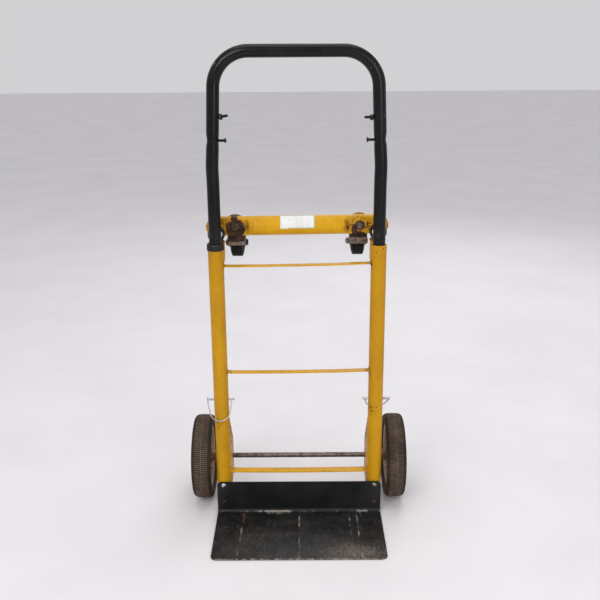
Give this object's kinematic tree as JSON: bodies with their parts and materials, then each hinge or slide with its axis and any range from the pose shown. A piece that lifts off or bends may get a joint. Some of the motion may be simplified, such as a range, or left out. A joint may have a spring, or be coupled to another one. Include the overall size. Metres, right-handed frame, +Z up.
{
  "type": "convertible hand truck",
  "caption": "Tubular two-wheel hand truck with lift-out loop handle, flat toe plate and rear swivel casters for lying down as a platform truck.",
  "frame": {"origin": "on the floor, under the middle of the whole truck's box", "axes": "+Z up along the uprights, -Y towards the load side with the toe plate, +Y towards the wheels, +X to the right seen from the toe plate side"},
  "size_m": [0.503, 0.3836, 1.06],
  "materials": {
    "yellow_paint": "worn gloss",
    "black_paint": "satin",
    "toe_plate_paint": "worn satin",
    "black_plastic": "satin",
    "tyre_rubber": "dusty",
    "cream_plastic": "dusty",
    "caster_rubber": "matte",
    "bright_steel": "zinc plated",
    "dull_steel": "tarnished",
    "rusty_steel": "rusted"
  },
  "bodies": {
    "frame": {"upright_left": "yellow_paint", "upright_right": "yellow_paint", "rung_top": "yellow_paint", "rung_middle": "yellow_paint", "rung_bottom": "yellow_paint", "axle_bracket_left": "yellow_paint", "axle_bracket_right": "yellow_paint", "axle_rod": "dull_steel", "axle_spacer_left": "dull_steel", "axle_spacer_right": "dull_steel", "axle_washer_left": "bright_steel", "axle_washer_right": "bright_steel", "axle_cap_left": "bright_steel", "axle_cap_right": "bright_steel", "toe_plate": "toe_plate_paint", "toe_bolt_upper_left": "bright_steel", "toe_bolt_upper_right": "bright_steel", "toe_bolt_lower_left": "bright_steel", "toe_bolt_lower_right": "bright_steel", "toe_nut_upper_left": "bright_steel", "toe_nut_upper_right": "bright_steel", "toe_nut_lower_left": "bright_steel", "toe_nut_lower_right": "bright_steel", "caster_crossbar": "yellow_paint", "handle_socket_left": "yellow_paint", "handle_socket_right": "yellow_paint", "socket_bush_left": "black_plastic", "socket_bush_right": "black_plastic", "socket_arm_left": "yellow_paint", "socket_arm_right": "yellow_paint", "upright_collar_left": "black_plastic", "king_bolt_left": "rusty_steel", "king_bolt_right": "dull_steel", "king_nut_left": "rusty_steel", "king_nut_right": "dull_steel", "caster_race_left": "rusty_steel", "caster_race_right": "dull_steel"},
    "handle": {"handle_loop": "black_paint", "stud_lower_left": "black_paint", "stud_lower_right": "black_paint", "stud_upper_left": "black_paint", "stud_upper_right": "black_paint", "stud_nut_left": "black_paint", "stud_nut_right": "black_paint"},
    "wheel_left": {"tyre_left": "tyre_rubber", "rim_left": "cream_plastic"},
    "caster_left": {"caster_fork_left": "rusty_steel", "caster_axle_left": "dull_steel", "caster_axle_nut_left": "dull_steel"},
    "caster_roller_left": {"caster_wheel_left": "caster_rubber"},
    "lock_pin_left": {"lock_pin_left": "bright_steel", "lock_bail_left": "bright_steel"},
    "wheel_right": {"tyre_right": "tyre_rubber", "rim_right": "cream_plastic"},
    "caster_right": {"caster_fork_right": "dull_steel", "caster_axle_right": "dull_steel", "caster_axle_nut_right": "dull_steel"},
    "caster_roller_right": {"caster_wheel_right": "caster_rubber"},
    "lock_pin_right": {"lock_pin_right": "bright_steel", "lock_bail_right": "bright_steel"}
  },
  "joints": [
    {"name": "handle_lift", "type": "slide", "parent": "frame", "child": "handle", "axis": [0, 0, 1], "range_m": [0, 0.32]},
    {"name": "wheel_spin_left", "type": "hinge", "parent": "frame", "child": "wheel_left", "pos_m": [-0.2285, 0.09175, 0.1], "axis": [1, 0, 0], "continuous": true},
    {"name": "caster_swivel_left", "type": "hinge", "parent": "frame", "child": "caster_left", "pos_m": [-0.137, 0.09475, 0.67563], "axis": [0, 1, 0], "continuous": true},
    {"name": "caster_spin_left", "type": "hinge", "parent": "caster_left", "child": "caster_roller_left", "pos_m": [-0.137, 0.13345, 0.62363], "axis": [1, 0, 0], "continuous": true},
    {"name": "lock_pin_turn_left", "type": "hinge", "parent": "frame", "child": "lock_pin_left", "pos_m": [-0.176, 0.01725, 0.284], "axis": [-1, 0, 0], "range_deg": [0, 135]},
    {"name": "wheel_spin_right", "type": "hinge", "parent": "frame", "child": "wheel_right", "pos_m": [0.2285, 0.09175, 0.1], "axis": [1, 0, 0], "continuous": true},
    {"name": "caster_swivel_right", "type": "hinge", "parent": "frame", "child": "caster_right", "pos_m": [0.137, 0.09475, 0.67837], "axis": [0, 1, 0], "continuous": true},
    {"name": "caster_spin_right", "type": "hinge", "parent": "caster_right", "child": "caster_roller_right", "pos_m": [0.137, 0.13345, 0.62637], "axis": [1, 0, 0], "continuous": true},
    {"name": "lock_pin_turn_right", "type": "hinge", "parent": "frame", "child": "lock_pin_right", "pos_m": [0.176, 0.01725, 0.284], "axis": [1, 0, 0], "range_deg": [-24, 111]}
  ]
}
